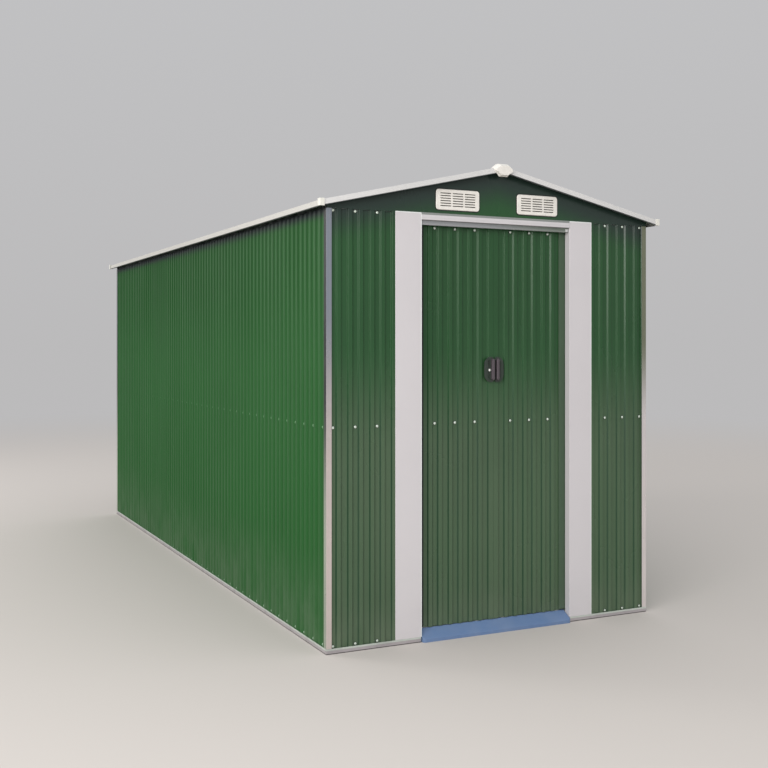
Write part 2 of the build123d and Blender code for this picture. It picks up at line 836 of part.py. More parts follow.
with BuildPart() as door_left_handle:
    with BuildSketch(handle_plane) as handle_sketch:
        with Locations((handle_near - handle_width / 2, handle_middle)):
            Rectangle(handle_width, handle_height)
        fillet(handle_sketch.vertices().group_by(Axis.X)[0], radius=handle_outer_radius)
        fillet(handle_sketch.vertices().group_by(Axis.X)[-1], radius=handle_inner_radius)
    extrude(amount=handle_plate)
    with BuildSketch(handle_plane.offset(handle_plate)):
        with Locations((pocket_middle, handle_middle)):
            Rectangle(pocket_width, pocket_height)
    extrude(amount=-pocket_depth, mode=Mode.SUBTRACT)
    with BuildSketch(handle_plane.offset(handle_plate)) as grip_sketch:
        with Locations((grip_middle, handle_middle)):
            Rectangle(grip_width, grip_height)
        chamfer(grip_sketch.vertices(), length=grip_width / 3)
    extrude(amount=handle_reach - seat_gap - handle_plate)
    chamfer(door_left_handle.faces().sort_by(Axis.Y)[0].edges(), length=grip_width / 5)

# Sliders: hangers with their heads on the lips of the top track, and guide shoes below
leaf_centre = -leaf_gap / 2 - leaf_width / 2
hanger_spread = leaf_width - 2 * hanger_from_edge
head_bottom = track_bottom + track_thickness + seat_gap
slider_plan = Plane((leaf_centre, -half_depth + track_middle, 0))

with BuildPart() as door_left_sliders:
    with BuildSketch(slider_plan.offset(leaf_top + seat_gap)):
        with GridLocations(hanger_spread, 1, 2, 1):
            Rectangle(hanger_length, hanger_stem)
    extrude(amount=head_bottom - leaf_top - seat_gap)
    with BuildSketch(slider_plan.offset(head_bottom)):
        with GridLocations(hanger_spread, 1, 2, 1):
            Rectangle(hanger_length, hanger_head)
    extrude(amount=hanger_head_height)
    with BuildSketch(slider_plan.offset(leaf_bottom - seat_gap)):
        with GridLocations(hanger_spread, 1, 2, 1):
            Rectangle(shoe_length, shoe_thickness)
    extrude(amount=-shoe_drop)

# The right leaf is the left one mirrored
with BuildPart() as door_right_sheet:
    mirror(door_left_sheet.part, about=Plane.YZ)

with BuildPart() as door_right_frame:
    mirror(door_left_frame.part, about=Plane.YZ)

with BuildPart() as door_right_handle:
    mirror(door_left_handle.part, about=Plane.YZ)

with BuildPart() as door_right_sliders:
    mirror(door_left_sliders.part, about=Plane.YZ)

base_frame_left.part.label = "base_frame_left"
base_frame_right.part.label = "base_frame_right"
base_frame_back.part.label = "base_frame_back"
base_frame_front.part.label = "base_frame_front"
door_sill.part.label = "door_sill"
floor_track.part.label = "floor_track"
wall_left.part.label = "wall_left"
wall_right.part.label = "wall_right"
wall_back.part.label = "wall_back"
front_panel_left.part.label = "front_panel_left"
front_panel_right.part.label = "front_panel_right"
corner_front_left.part.label = "corner_front_left"
corner_front_right.part.label = "corner_front_right"
corner_back_left.part.label = "corner_back_left"
corner_back_right.part.label = "corner_back_right"
front_beam.part.label = "front_beam"
back_beam.part.label = "back_beam"
top_rail_left.part.label = "top_rail_left"
top_rail_right.part.label = "top_rail_right"
mid_rail_left.part.label = "mid_rail_left"
mid_rail_right.part.label = "mid_rail_right"
mid_rail_back.part.label = "mid_rail_back"
mid_rails_front.part.label = "mid_rails_front"
door_post_left.part.label = "door_post_left"
door_post_right.part.label = "door_post_right"
door_header.part.label = "door_header"
top_track.part.label = "top_track"
gable_front.part.label = "gable_front"
gable_back.part.label = "gable_back"
vents_front.part.label = "vents_front"
vents_back.part.label = "vents_back"
roof_left.part.label = "roof_left"
roof_right.part.label = "roof_right"
rake_trims_front.part.label = "rake_trims_front"
rake_trims_back.part.label = "rake_trims_back"
eave_trims.part.label = "eave_trims"
ridge_cap.part.label = "ridge_cap"
ridge_beam.part.label = "ridge_beam"
purlins.part.label = "purlins"
ridge_end_caps.part.label = "ridge_end_caps"
roof_corner_caps.part.label = "roof_corner_caps"
door_left_sheet.part.label = "door_left_sheet"
door_left_frame.part.label = "door_left_frame"
door_left_handle.part.label = "door_left_handle"
door_left_sliders.part.label = "door_left_sliders"
door_right_sheet.part.label = "door_right_sheet"
door_right_frame.part.label = "door_right_frame"
door_right_handle.part.label = "door_right_handle"
door_right_sliders.part.label = "door_right_sliders"

shed = [
    base_frame_left, base_frame_right, base_frame_back, base_frame_front, door_sill, floor_track,
    wall_left, wall_right, wall_back, front_panel_left, front_panel_right,
    corner_front_left, corner_front_right, corner_back_left, corner_back_right,
    front_beam, back_beam, top_rail_left, top_rail_right,
    mid_rail_left, mid_rail_right, mid_rail_back, mid_rails_front,
    door_post_left, door_post_right, door_header, top_track,
    gable_front, gable_back, vents_front, vents_back,
    roof_left, roof_right, rake_trims_front, rake_trims_back, eave_trims,
    ridge_cap, ridge_beam, purlins, ridge_end_caps, roof_corner_caps,
    door_left_sheet, door_left_frame, door_left_handle, door_left_sliders,
    door_right_sheet, door_right_frame, door_right_handle, door_right_sliders,
]

for piece in shed:
    export_step(piece.part, f"parts/{piece.part.label}.step")

print(f"Door travel {door_travel:.1f} mm, roof pitch {degrees(roof_angle):.1f} degrees")
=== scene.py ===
import json
import math

import bmesh
import bpy
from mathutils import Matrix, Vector


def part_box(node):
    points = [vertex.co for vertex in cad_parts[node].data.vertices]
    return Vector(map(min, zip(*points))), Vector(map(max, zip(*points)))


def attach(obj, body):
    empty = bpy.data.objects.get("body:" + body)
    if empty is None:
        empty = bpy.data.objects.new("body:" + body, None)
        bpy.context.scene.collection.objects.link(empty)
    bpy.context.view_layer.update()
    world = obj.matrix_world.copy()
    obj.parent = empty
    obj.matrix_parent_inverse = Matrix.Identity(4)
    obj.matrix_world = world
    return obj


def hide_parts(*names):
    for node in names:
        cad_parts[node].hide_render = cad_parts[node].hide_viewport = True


# A sheet-metal garden shed, dressed over its CAD frame. Metres, +Z up, the doorway towards -Y.
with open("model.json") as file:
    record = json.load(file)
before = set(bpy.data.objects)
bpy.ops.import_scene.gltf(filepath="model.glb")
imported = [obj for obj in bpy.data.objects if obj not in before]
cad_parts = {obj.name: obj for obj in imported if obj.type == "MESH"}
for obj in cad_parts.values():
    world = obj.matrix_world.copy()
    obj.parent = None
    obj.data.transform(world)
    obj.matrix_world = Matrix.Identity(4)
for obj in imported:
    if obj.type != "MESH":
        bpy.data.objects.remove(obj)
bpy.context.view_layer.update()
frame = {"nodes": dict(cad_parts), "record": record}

record = frame["record"]
slot_of = {part["node"]: part["material_slot"] for part in record["subparts"]}
body_of = {node: body for body, nodes in record["behaviour"]["bodies"].items() for node in nodes}

# Directions seen from the shed
RIGHT, LEFT = Vector((1, 0, 0)), Vector((-1, 0, 0))
BACK, FRONT = Vector((0, 1, 0)), Vector((0, -1, 0))
UP = Vector((0, 0, 1))

# Camera: level, beyond the front left corner, with the frame shifted as in the photograph
LENS = 49.31
CAMERA_PLACE = Vector((-2.754, -6.443, 1.386))
CAMERA_YAW = math.radians(25.09)
CAMERA_SHIFT = (0.0339, -0.0529)

# Light: a graded dome and soft boxes, each with its power, size, place and aim
SKY_LOW = 0.30
SKY_HIGH = 1.10
SKY_COLOUR = (0.97, 0.985, 1.0, 1)
LAMP_COLOUR = (1.0, 0.98, 0.95)
SOFT_BOXES = {
    "key_box": (396.0, (6.2, 3.8), Vector((-5.8, -7.0, 3.65)), Vector((-0.3, -2.0, 1.0))),
    "rear_box": (180.0, (3.0, 2.6), Vector((-7.0, 4.5, 3.2)), Vector((-0.9, 1.0, 1.0))),
}

# Backdrop and floor
BACKDROP_LOW = (0.50, 0.495, 0.50, 1)
BACKDROP_HIGH = (0.60, 0.61, 0.63, 1)
FLOOR = (0.605, 0.565, 0.535, 1)
FLOOR_REACH = 60.0
FLOOR_FADE = (6.0, 15.0)

# Ribbed sheets: thickness, folds, ribs, flanks by narrow and wide valleys, widths of valleys
SHEET = 0.0006
BEND_RADIUS = 0.0024
BEND_STEPS = 3
RIB_DEPTH = 0.008
ROOF_RIB_DEPTH = 0.010
NARROW_FLANK = 0.0060
WIDE_FLANK = 0.0048
NARROW_VALLEY = (0.018, 0.025)
ROOF_PAN_LEAST = 0.06

# Tiers: the height of the seam, the lap past it, and the setback of the lower tier there
SEAM = 1.000
LAP = 0.018
LAP_TUCK = 0.0007

# Tolerances for points of the CAD that share a depth or a height
SAME_DEPTH = 2e-4
SAME_HEIGHT = 1e-4
WELD = 1e-5

# Rounded edges: the edges that are rounded, and faces that count as one
ROUND_ANGLE = math.radians(28)
ROUND_SEGMENTS = 2
FLAT_ANGLE = math.radians(1)
CORNER_STEPS = 5

# Edges that stay sharp in shading, on folded sheet and on the heads of screws
SHARP_FOLD = math.radians(32)
SHARP_HEAD = math.radians(40)

# Bends: a turn that counts as straight, the most of a side that a bend takes, the longest mitre
STRAIGHT = math.radians(2)
BEND_SHARE = 0.46
MITRE_LEAST = 0.5

# Door leaves: where their sheets meet, the stile shown at the left, the reach at the right, the drop
MEETING_GAP = 0.0008
STILE_SHOWN = 0.0030
RIGHT_LEAF_REACH = 0.0140
DOOR_DROP = 0.0042

# Painted shadow of the gap by the left post, which fades between these places in x from the CAD sheet's
# edge
STILE_GAP = (0.0022, 0.0057)

# Door posts: sheet, fold, outer return and the left post's reach, then (drop, setback) at the top
POST_SHEET = 0.0015
POST_BEND = 0.0036
POST_LIP = 0.0108
POST_REACH = 0.0030
POST_TOP = ((0.0040, 0), (0.0022, 0.0005), (0.0008, 0.0016), (0, 0.0034))

# Painted highlights on the posts: distances from a fold and below the top
FOLD_HIGHLIGHT = (0.0045, 0.0070)
TOP_HIGHLIGHT = (0.0065, 0.0040)

# Header strip: the places in x between which its colour, painted shade and reflection, changes
STRIP_FADE = (-0.15, 0.42)

# Bands up the header's face: two heights over its foot, and the share of the colour at each; the groove
# and crown bands are painted shade
HEADER_BANDS = (
    ("face", 0.0060, 0.0120, 0.12, 0.0),
    ("groove", 0.0195, 0.0200, 0.0, 1.0),
    ("face", 0.0226, 0.0232, 0.0, 1.0),
    ("groove", 0.0325, 0.0332, 0.0, 0.12),
    ("face", 0.0350, 0.0357, 0.0, 1.0),
    ("crown", 0.0458, 0.0468, 0.0, 1.0),
)

# Header stop: its place from the header's right end, front and foot
STOP_PLACE = Vector((-0.0125, 0.0110, 0.0085))

# Header stop: its width, height and corner radius, and the (inset, reach) of its rings
STOP_SIZE = (0.014, 0.015, 0.004)
STOP_RINGS = ((0, 0), (0, 0.0040), (0.0005, 0.0050), (0.0016, 0.0055))

# Handles: the depths behind the front between which the plate's colour, painted shade, takes over from
# the grip's
GRIP_DEPTH = (0.0127, 0.0177)

# Latch screw: its place from the left handle's left edge, front and mid height
LATCH_PLACE = Vector((0.0296, 0.0225, -0.003))

# Vents: the corner radius of their plates, and the black ring round each, a painted shadow
VENT_RADIUS = 0.014
SHADOW_RING_REACH = 0.0042
SHADOW_RING_TUCK = 0.0008
SHADOW_RING_THICKNESS = 0.0011

# Rows of screws: over a sheet's foot, below a wall's and a leaf's top, and out from the ridge in x
BASE_ROW = 0.030
TOP_ROW = 0.008
DOOR_ROW = 0.020
ROOF_ROWS = (0.470, 0.875)

# Fastenings: how far the nuts sit behind a sheet's face, and the turn from one screw to the next
NUT_BEHIND = 0.0028
SCREW_SPIN = math.radians(37)

# Heights in z between which the film of dust and painted reflection, the angles' legs' painted reflection
# and shade, and the rails' painted shade change
FILM_REACH = (0.88, 1.40)
LEG_REACH = (0.45, 1.15)
RAIL_SHADE = (1.975, 1.988)

# Usual height of the dust over the ground
DUSTY_HEIGHT = 0.25

# Roof planes, for the grime that gathers below them
WALL_FACE = 0.898
EAVE_LINE = 2.004
ROOF_SLOPE = math.tan(math.radians(12.6))


# Shader nodes

def shade(colour, factor):
    return tuple(part * factor for part in colour)


class Finish:
    """A material built node by node, ending in one Principled shader."""

    def __init__(self, name):
        self.material = bpy.data.materials.new(name)
        self.material.use_nodes = True
        self.tree = self.material.node_tree
        self.shader = self.tree.nodes["Principled BSDF"]
        self.place = self.node("ShaderNodeTexCoord").outputs["Object"]

    def node(self, kind, inputs=None, **settings):
        made = self.tree.nodes.new(kind)
        for name, value in settings.items():
            setattr(made, name, value)
        for name, value in (inputs or {}).items():
            self.put(made.inputs[name], value)
        return made

    def put(self, socket, value):
        if isinstance(value, bpy.types.NodeSocket):
            self.tree.links.new(value, socket)
        else:
            socket.default_value = value

    def set(self, **inputs):
        for name, value in inputs.items():
            self.put(self.shader.inputs[name.replace("_", " ")], value)

    def noise(self, scale, detail=3.0, stretch=(1, 1, 1)):
        moved = self.node("ShaderNodeVectorMath", {0: self.place, 1: stretch}, operation="MULTIPLY")
        made = self.node(
            "ShaderNodeTexNoise", {"Vector": moved.outputs[0], "Scale": scale, "Detail": detail}
        )
        return made.outputs["Fac"]

    def cells(self, scale):
        made = self.node("ShaderNodeTexVoronoi", {"Vector": self.place, "Scale": scale})
        return self.node("ShaderNodeSeparateColor", {0: made.outputs["Color"]}).outputs[0]

    def remap(self, value, low, high, to_low=0.0, to_high=1.0):
        made = self.node(
            "ShaderNodeMapRange",
            {"Value": value, "From Min": low, "From Max": high, "To Min": to_low, "To Max": to_high},
            interpolation_type="SMOOTHSTEP",
        )
        return made.outputs[0]

    def math(self, operation, a, b=0.0, c=0.0):
        return self.node("ShaderNodeMath", {0: a, 1: b, 2: c}, operation=operation).outputs[0]

    def mix(self, factor, a, b):
        """A mix of two colours, each a socket or (red, green, blue)."""
        a, b = (v if isinstance(v, bpy.types.NodeSocket) else (*v, 1) for v in (a, b))
        return self.node("ShaderNodeMix", {0: factor, 6: a, 7: b}, data_type="RGBA").outputs[2]

    def axis(self, number):
        return self.node("ShaderNodeSeparateXYZ", {0: self.place}).outputs[number]

    def facing(self, number):
        """How far the surface faces along an axis either way, from 0 to 1."""
        normal = self.node("ShaderNodeTexCoord").outputs["Normal"]
        return self.math("ABSOLUTE", self.node("ShaderNodeSeparateXYZ", {0: normal}).outputs[number])

    def bump(self, height, distance, strength, normal=None):
        made = self.node("ShaderNodeBump", {"Height": height, "Distance": distance, "Strength": strength})
        if normal is not None:
            self.put(made.inputs["Normal"], normal)
        return made.outputs[0]

    def clouded(self, colour, dark, light, scale=1.3):
        """A colour between two shades of itself, in soft clouds."""
        cloud = self.remap(self.noise(scale, 4.0), 0.3, 0.7)
        return self.mix(cloud, shade(colour, dark), shade(colour, light))

    def bloom(self, most=1.0):
        """Dull patches on bare metal, up to a share."""
        return self.remap(self.noise(9.0, 6.0), 0.42, 0.72, 0.0, most)

    def sprayed(self, low, high):
        """Broad changes of roughness down a wall of sprayed enamel."""
        return self.remap(self.noise(3.1, 5.0, (1, 1, 0.35)), 0.25, 0.75, low, high)

    def orange_peel(self, dented=False):
        """Bump of sprayed enamel, over shallow dents where the sheet is broad."""
        dents = self.bump(self.noise(2.6, 1.0, (1, 1, 0.4)), 0.006, 0.20) if dented else None
        return self.bump(self.noise(520.0, 1.0), 0.0002, 0.15, dents)

    def drawn_lines(self):
        return self.bump(self.noise(240.0, 2.0, (1, 1, 0.2)), 0.0002, 0.12)

    def moulded_grain(self):
        return self.bump(self.noise(1400.0, 2.0), 0.0002, 0.25)


def ribs_film_and_shading(f, base, dust, flats, film, folds, fold_shading, fold_reach):
    """The base with a film of dust and painted reflection low on the flats, and painted shade and painted
    highlight on the ribs' flanks.
    """
    flat = f.remap(f.facing(flats), 0.60, 0.95)
    below = f.remap(f.axis(2), *FILM_REACH, film, 0.0)
    patchy = f.remap(f.noise(5.0, 5.0, (1, 1, 0.4)), 0.2, 0.8, 0.8, 1.0)
    laid = f.math("MULTIPLY", f.math("MULTIPLY", below, patchy), flat)
    fold = f.mix(f.remap(f.axis(2), *fold_reach), *fold_shading)
    return f.mix(f.math("MULTIPLY_ADD", flat, -folds, folds), f.mix(laid, base, dust), fold)


def shaded_under_roof(f, base, most, reach):
    """The base with painted shade close under the roof."""
    eave_over_axis = EAVE_LINE + WALL_FACE * ROOF_SLOPE
    eave = f.math("MULTIPLY_ADD", f.math("ABSOLUTE", f.axis(0)), -ROOF_SLOPE, eave_over_axis)
    under = f.math("SUBTRACT", eave, f.axis(2))
    return f.mix(f.remap(under, *reach, most, 0.0), base, PAINTED_SHADE)


def enamel(name, colour, dust, roughness=0.42, uneven=0.08, streaks=0.04, specular=0.36, flats=None,
           film=0.0, folds=0.0, fold_shading=(), fold_reach=(), roof_shade=0.0,
           roof_shade_reach=(0.02, 0.17), paling_height=DUSTY_HEIGHT, soil_and_reflection=0.14):
    """Stove enamel on steel: broad unevenness, rain streaks, orange peel, and paler near the ground:
    dust there, and on the side walls also painted reflection of the pale ground.

    flats is the axis that the flats between the ribs face, if there are ribs. film is dust and
    painted reflection of the pale ground on their lower half, folds how far the ribs' flanks take the
    fold shading, painted shade and painted highlight, the second of its colours high up, and
    roof_shade is the painted shade close under the roof.
    """
    f = Finish(name)
    base = f.clouded(colour, 1 - uneven, 1 + uneven)
    streak = f.remap(f.noise(34.0, 4.0, (1, 1, 0.03)), 0.50, 0.80)
    base = f.mix(f.math("MULTIPLY", streak, streaks), base, dust)
    if flats is not None:
        base = ribs_film_and_shading(f, base, dust, flats, film, folds, fold_shading, fold_reach)
    if roof_shade:
        base = shaded_under_roof(f, base, roof_shade, roof_shade_reach)
    low = f.remap(f.axis(2), 0.0, paling_height, 1.0, 0.0)
    specks = f.remap(f.noise(9.0, 6.0, (1, 1, 0.5)), 0.15, 0.85)
    low_paling = f.math("MULTIPLY", f.math("MULTIPLY", low, specks), soil_and_reflection)
    base = f.mix(low_paling, base, dust)
    rough = f.math("MULTIPLY_ADD", low_paling, 0.5, f.sprayed(roughness - 0.05, roughness + 0.07))
    f.set(Base_Color=base, Roughness=rough, Normal=f.orange_peel(dented=True))
    f.set(Specular_IOR_Level=specular)
    return f.material


def post_enamel(name, colour, edge, highlight_places, top):
    """Pale enamel of the door posts, with a painted highlight along the fold at each place in x and on
    top.
    """
    f = Finish(name)
    base = f.clouded(colour, 0.98, 1.02)
    for place in highlight_places:
        away = f.math("ABSOLUTE", f.math("SUBTRACT", f.axis(0), place))
        base = f.mix(f.remap(away, *FOLD_HIGHLIGHT, 1.0, 0.0), base, edge)
    base = f.mix(f.remap(f.axis(2), top - TOP_HIGHLIGHT[0], top - TOP_HIGHLIGHT[1]), base, edge)
    specks = f.remap(f.noise(9.0, 6.0), 0.35, 0.75)
    low = f.math("MULTIPLY", f.remap(f.axis(2), 0.0, DUSTY_HEIGHT, 0.12, 0.0), specks)
    base = f.mix(low, base, (0.45, 0.43, 0.40))
    f.set(Base_Color=base, Roughness=f.sprayed(0.29, 0.41), Normal=f.orange_peel(dented=True))
    f.set(Specular_IOR_Level=0.36)
    return f.material


def header_enamel(name, colours, strip, foot):
    """Pale enamel of the header: a strip in two colours of painted shade and reflection, the grooved face
    over it with its grooves in painted shade, and the crown, a painted shadow line.
    """
    f = Finish(name)
    height = f.math("SUBTRACT", f.axis(2), foot)
    base = f.mix(f.remap(f.axis(0), *STRIP_FADE), *strip)
    for part, low, high, share_low, share_high in HEADER_BANDS:
        base = f.mix(f.remap(height, low, high, share_low, share_high), base, colours[part])
    cloud = f.remap(f.noise(6.0, 4.0), 0.3, 0.7, 0.0, 0.05)
    base = f.mix(cloud, base, (0.40, 0.39, 0.38))
    rough = f.remap(f.noise(9.0, 4.0), 0.25, 0.75, 0.34, 0.46)
    f.set(Base_Color=base, Roughness=rough, Normal=f.orange_peel())
    f.set(Specular_IOR_Level=0.35)
    return f.material


def stile_enamel(name, colour, gap):
    """Enamel of a leaf's frame, with a black painted shadow along the post, up to the gap's places in x.
    """
    f = Finish(name)
    base = f.clouded(colour, 0.95, 1.05)
    base = f.mix(f.remap(f.axis(0), *gap, 1.0, 0.0), base, shade(PAINTED_SHADE, 0.45))
    f.set(Base_Color=base, Roughness=f.sprayed(0.36, 0.50), Normal=f.orange_peel())
    f.set(Specular_IOR_Level=0.16)
    return f.material


def zinc(name, colour, roughness=0.38, metallic=0.85, mottle=0.06, bands=()):
    """Galvanised steel: faint spangle, a dull bloom, fine drawn lines.

    Each band is (height below, height above, colour): the colour that covers what lies above, painted
    shade and painted highlight on the rails.
    """
    f = Finish(name)
    spangle = f.cells(110.0)
    base = f.mix(spangle, shade(colour, 1 - mottle), shade(colour, 1 + mottle))
    for low, high, covered in bands:
        base = f.mix(f.remap(f.axis(2), low, high), base, covered)
    bloom = f.bloom()
    base = f.mix(f.math("MULTIPLY", bloom, 0.25), base, shade(colour, 0.82))
    rough = f.math("MULTIPLY_ADD", spangle, mottle, roughness - mottle / 2)
    rough = f.math("MULTIPLY_ADD", bloom, 0.10, rough)
    f.set(Base_Color=base, Roughness=rough, Normal=f.drawn_lines())
    f.set(Metallic=metallic)
    return f.material


def angle_steel(name, front, side, change):
    """Corner angles: pale low down and duller and bluer high up, painted reflection, and darker on the
    side legs, painted shade.

    front and side are pairs of colours, low and high. change is where the front's meet in z.
    """
    f = Finish(name)
    face = f.mix(f.remap(f.axis(2), *change), *front)
    leg = f.mix(f.remap(f.axis(2), *LEG_REACH), *side)
    base = f.mix(f.remap(f.facing(0), 0.55, 0.85), face, leg)
    base = f.mix(f.bloom(0.06), base, (0.30, 0.29, 0.28))
    rough = f.remap(f.noise(30.0, 4.0, (1, 1, 0.2)), 0.25, 0.75, 0.26, 0.36)
    f.set(Base_Color=base, Roughness=rough, Normal=f.drawn_lines())
    f.set(Metallic=0.8)
    return f.material


def plastic(name, colour, dust, roughness=0.45):
    """Moulded plastic: fine grain, slight clouding and dust."""
    f = Finish(name)
    base = f.clouded(colour, 0.95, 1.04, 22.0)
    specks = f.remap(f.noise(70.0, 6.0), 0.55, 0.85, 0.0, 0.14)
    base = f.mix(specks, base, dust)
    rough = f.remap(f.noise(140.0, 3.0), 0.3, 0.7, roughness - 0.05, roughness + 0.07)
    f.set(Base_Color=base, Roughness=rough, Normal=f.moulded_grain())
    f.set(Specular_IOR_Level=0.4)
    return f.material


def handle_plastic(name, grip, plate, front):
    """Moulded plastic of the handles: the plates, further back, are darker and greener than the grips,
    painted shade.
    """
    f = Finish(name)
    raised = f.remap(f.axis(1), front + GRIP_DEPTH[0], front + GRIP_DEPTH[1], 1.0, 0.0)
    base = f.mix(raised, plate, grip)
    cloud = f.remap(f.noise(60.0, 4.0), 0.3, 0.7, 0.0, 0.16)
    base = f.mix(cloud, base, shade(grip, 1.5))
    rough = f.remap(f.noise(140.0, 3.0), 0.3, 0.7, 0.32, 0.44)
    f.set(Base_Color=base, Roughness=rough, Normal=f.moulded_grain())
    f.set(Specular_IOR_Level=0.4)
    return f.material


# Colours
GREEN = (0.017, 0.099, 0.021)
FRONT_GREEN = (0.019, 0.078, 0.025)
# Rib flanks of the side walls: lighter low down, painted highlight, and darker high up, painted shade
SIDE_FOLD_SHADING = ((0.033, 0.134, 0.039), (0.006, 0.052, 0.008))
# Rib flanks of the front high up: a little lighter than the flats, painted highlight
FRONT_FOLD_SHADING = (0.022, 0.088, 0.030)
# Painted shade: close under the roof, on the front's lower rib flanks, on the top rails under the eaves
# and in the gap by the left post
PAINTED_SHADE = (0.021, 0.027, 0.032)
DUST = (0.36, 0.36, 0.32)
# Dust on the front, whose film low on the flats is also painted reflection of the pale ground
FRONT_DUST_AND_REFLECTION = (0.36, 0.37, 0.30)
TRIM_DUST = (0.40, 0.39, 0.36)
NYLON_DUST = (0.36, 0.35, 0.33)
ZINC = (0.60, 0.61, 0.60)
# Side legs of the corner angles: pale greenish low down, painted reflection, and near-black high up,
# painted shade
ANGLE_LEG_SHADING = ((0.47, 0.53, 0.44), (0.030, 0.031, 0.030))

# Finishes, one for each of the record's slots
# Trims: darker below the eave line, painted shade
TRIM = {"roughness": 0.40, "uneven": 0.03, "streaks": 0.06, "roof_shade": 0.9,
        "roof_shade_reach": (-0.0003, -0.0025)}
left_post_end, right_post_end = (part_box("door_post_" + side)[1] for side in ("left", "right"))
finish = {
    # Side walls: painted highlight and shade on the rib flanks, painted shade under the eaves, and paler
    # low down with dust and painted reflection of the pale ground
    "green_sheet": enamel(
        "green_enamel", GREEN, DUST, roughness=0.46, uneven=0.05, streaks=0.02, specular=0.14,
        flats=0, folds=0.5, fold_shading=SIDE_FOLD_SHADING, fold_reach=(1.15, 1.80),
        roof_shade=0.95, roof_shade_reach=(0.022, 0.070), paling_height=0.5, soil_and_reflection=0.17,
    ),
    "roof_sheet": enamel("roof_enamel", GREEN, DUST, roughness=0.45),
    "roof_trim": enamel("trim_enamel", (0.68, 0.675, 0.67), TRIM_DUST, **TRIM),
    # Door posts, with painted highlights along their right folds and tops
    "white_metal": post_enamel(
        "pale_enamel", (0.645, 0.620, 0.640), (0.82, 0.85, 0.84),
        (left_post_end.x + POST_REACH, right_post_end.x), left_post_end.z,
    ),
    "galvanised": zinc("galvanised_steel", ZINC),
    # Corner angles: pinkish low and bluish high on the front, painted reflection
    "corner_metal": angle_steel(
        "grey_angle_steel", ((0.78, 0.70, 0.67), (0.350, 0.385, 0.440)), ANGLE_LEG_SHADING, (0.85, 1.60)
    ),
    "stile_metal": enamel(
        "stile_enamel", (0.068, 0.112, 0.070), DUST, roughness=0.36, uneven=0.05, streaks=0.03,
        specular=0.22,
    ),
    "blue_sill": enamel(
        "blue_enamel", (0.125, 0.212, 0.395), (0.45, 0.46, 0.48), roughness=0.38, uneven=0.05
    ),
    "ivory_plastic": plastic("ivory_plastic", (0.84, 0.81, 0.76), (0.42, 0.39, 0.34)),
    "handle_plastic": handle_plastic(
        "handle_plastic", (0.078, 0.064, 0.074), (0.030, 0.046, 0.034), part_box("door_left_handle")[0].y
    ),
    "slider_plastic": plastic("nylon", (0.78, 0.77, 0.75), NYLON_DUST, 0.35),
}

# Finishes of single nodes and of the small pieces that only the scene has
# Front sheets and gables: a film of dust and painted reflection low on the flats, painted shade and
# highlight on the rib flanks, and painted shade under the roof
front_enamel = enamel(
    "front_enamel", FRONT_GREEN, FRONT_DUST_AND_REFLECTION, roughness=0.27, streaks=0.02, specular=0.40, flats=1,
    film=0.160, folds=0.40, fold_shading=(PAINTED_SHADE, FRONT_FOLD_SHADING), fold_reach=FILM_REACH,
    roof_shade=0.8, roof_shade_reach=(0.03, 0.19),
)
# Header: the strip, groove and crown colours are painted shade
header_finish = header_enamel(
    "header_enamel",
    {"face": (0.65, 0.63, 0.65), "groove": (0.19, 0.185, 0.19), "crown": (0.245, 0.265, 0.255)},
    ((0.26, 0.27, 0.285), (0.150, 0.180, 0.150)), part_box("door_header")[0].z,
)
eave_enamel = enamel("eave_enamel", (0.570, 0.560, 0.525), TRIM_DUST, **(TRIM | {"roughness": 0.42}))
cap_plastic = plastic("cap_plastic", (0.80, 0.79, 0.73), (0.42, 0.40, 0.36))
# Base rails: black at the foot, painted contact shadow, then a mauve-grey face and a pale greenish top
# lip, painted highlight
rail_zinc = zinc(
    "rail_zinc", (0.14, 0.13, 0.13), 0.34, 0.55, 0.02,
    ((0.0035, 0.0050, (0.52, 0.49, 0.51)), (0.0165, 0.0180, (0.68, 0.74, 0.69))),
)
# Top rails: black under the eaves, painted shade
top_rail_zinc = zinc("eaves_zinc", ZINC, bands=((*RAIL_SHADE, PAINTED_SHADE),))
# Front right corner angle: pinkish low and olive high on the front, painted reflection
right_steel = angle_steel(
    "front_right_angle_steel", ((0.90, 0.84, 0.84), (0.255, 0.272, 0.190)), ANGLE_LEG_SHADING, (0.95, 1.42)
)
# Left leaf's frame: lighter than the right's, painted light against the post's shade, with the painted
# shadow of the gap
leaf_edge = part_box("door_left_sheet")[0].x
left_stile = stile_enamel(
    "left_stile_enamel", (0.092, 0.124, 0.090), (leaf_edge + STILE_GAP[0], leaf_edge + STILE_GAP[1])
)
# Black rubber of the screws' sealing washers, and of the vents' rings of painted shadow
washer_and_shadow_rubber = plastic("washer_and_shadow_rubber", (0.016, 0.018, 0.017), (0.05, 0.05, 0.045), 0.55)
stop_nylon = plastic("stop_nylon", (0.58, 0.58, 0.58), NYLON_DUST, 0.35)
screw_zinc = zinc("screw_zinc", (0.76, 0.86, 0.76), 0.26, 0.40, 0.03)
# Dark green heads for the side walls' seam screws
dark_green_head = zinc("dark_green_head", (0.17, 0.33, 0.18), 0.40, 0.2, 0.03)
base_head = zinc("base_head", (0.42, 0.56, 0.43), 0.34, 0.3, 0.03)
roof_head = zinc("roof_head", (0.55, 0.60, 0.56), 0.34, 0.4, 0.03)
# Latch screw head: near-white and not metallic, a painted glint
glint_white = zinc("glint_white", (0.96, 0.96, 0.93), 0.30, 0.0, 0.02)


# Mesh helpers

def dress(piece, material):
    piece.data.materials.clear()
    piece.data.materials.append(material)


